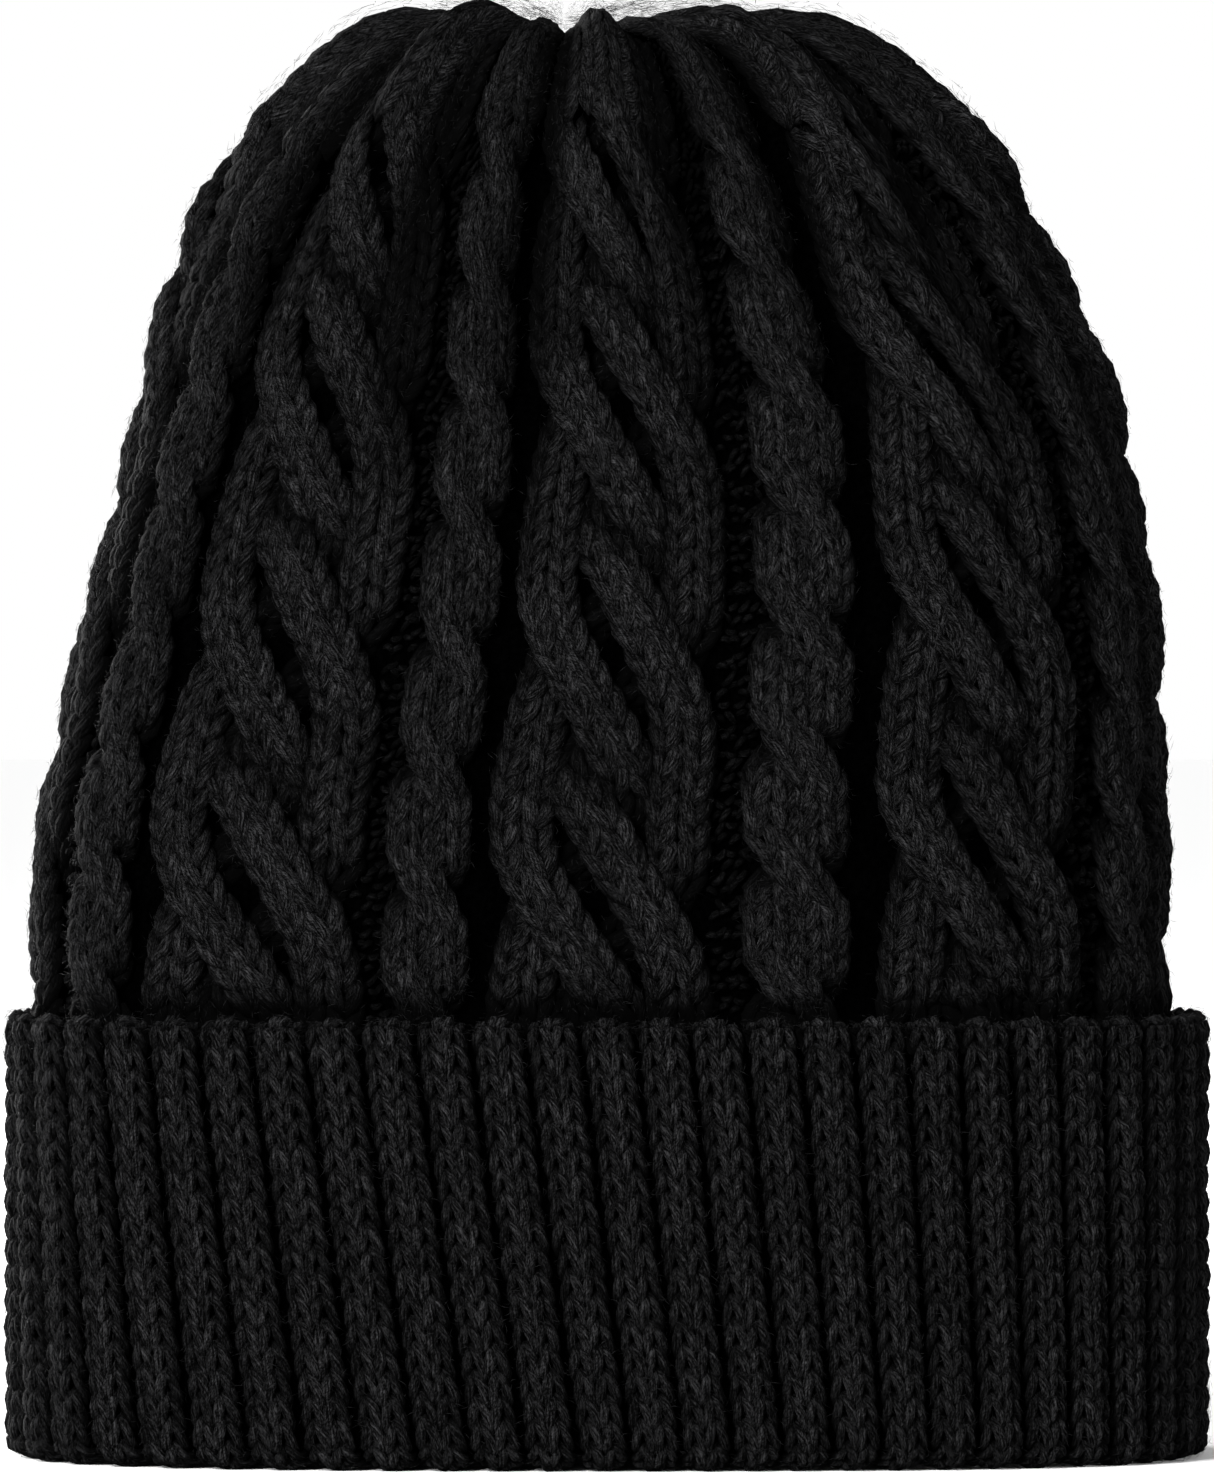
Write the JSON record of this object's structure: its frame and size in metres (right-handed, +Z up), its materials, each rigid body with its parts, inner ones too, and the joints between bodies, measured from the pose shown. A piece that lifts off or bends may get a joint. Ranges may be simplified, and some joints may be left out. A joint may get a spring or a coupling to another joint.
{
  "type": "knit beanie",
  "caption": "Knit beanie: a cable-knit cap gathered to a closed crown, standing in a turned-up ribbed cuff, with a blank label inside.",
  "frame": {"origin": "centre of the hat's footprint, on the surface that it stands on", "axes": "+Z up through the crown, -Y out of the hat's front, +X to the right of a viewer who faces the front"},
  "size_m": [0.2, 0.108, 0.2413],
  "materials": {
    "rib_yarn": "black wool-blend yarn in two-by-two rib, matt with short loose fibres",
    "cable_yarn": "black wool-blend yarn in cables on a purl ground, matt with short loose fibres",
    "join_yarn": "black plied yarn, matt",
    "label_tape": "white woven tape, blank",
    "label_thread": "black sewing thread"
  },
  "bodies": {
    "cuff": {"turn_up_cuff": "rib_yarn"},
    "cap": {"inner_band": "rib_yarn", "cable_crown": "cable_yarn", "crown_gather_yarn": "join_yarn", "crown_tie_knot": "join_yarn", "crown_seam_yarn": "join_yarn", "band_seam_yarn": "join_yarn"},
    "label": {"care_label": "label_tape", "label_stitches": "label_thread"}
  },
  "joints": [
    {"name": "cuff_turn_down", "type": "slide", "parent": "cuff", "child": "cap", "axis": [0, 0, 1], "range_m": [0, 0.055]},
    {"name": "label_flip", "type": "hinge", "parent": "cap", "child": "label", "pos_m": [-0.025, 0.042, 0.06], "axis": [-1, 0, 0], "range_deg": [0, 70]}
  ]
}
